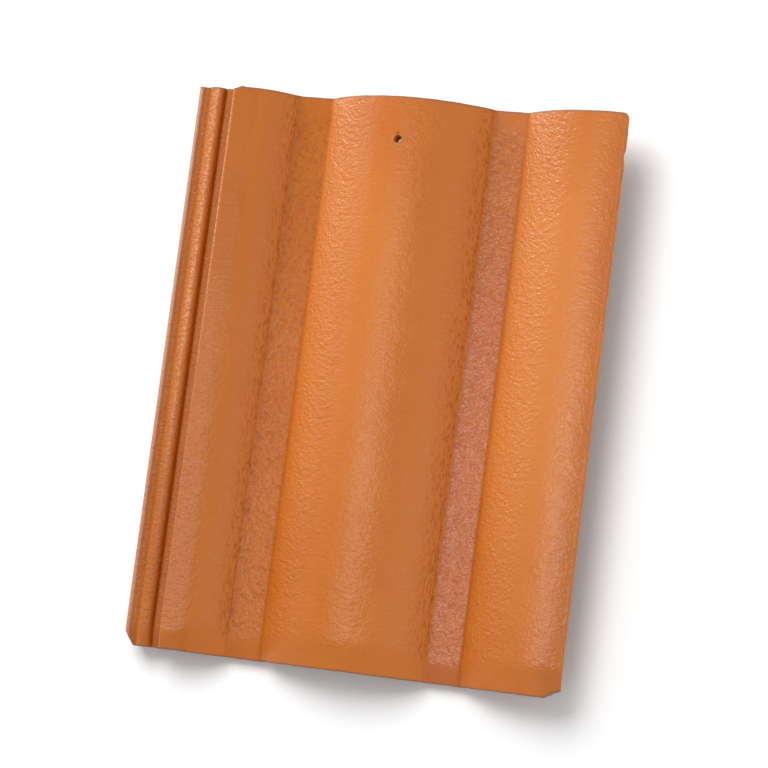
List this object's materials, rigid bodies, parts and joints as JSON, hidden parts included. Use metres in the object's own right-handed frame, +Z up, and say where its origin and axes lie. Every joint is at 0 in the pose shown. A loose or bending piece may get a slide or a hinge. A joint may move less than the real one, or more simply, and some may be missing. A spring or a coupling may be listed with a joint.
{
  "type": "interlocking double-roll roof tile",
  "caption": "Orange semi-gloss interlocking double-roll roof tile with a side underlock, sloped foot nose, hanging nibs and a nail hole, lying weather face up.",
  "frame": {"origin": "on the floor under the middle of the tile's box", "axes": "+X across the tile from the underlock to the free edge, +Y from the foot to the head, +Z up, out of the weather face"},
  "size_m": [0.331, 0.4208, 0.0506],
  "materials": {
    "fired_clay": "satin"
  },
  "bodies": {
    "root": {"roof_tile": "fired_clay"}
  },
  "joints": []
}
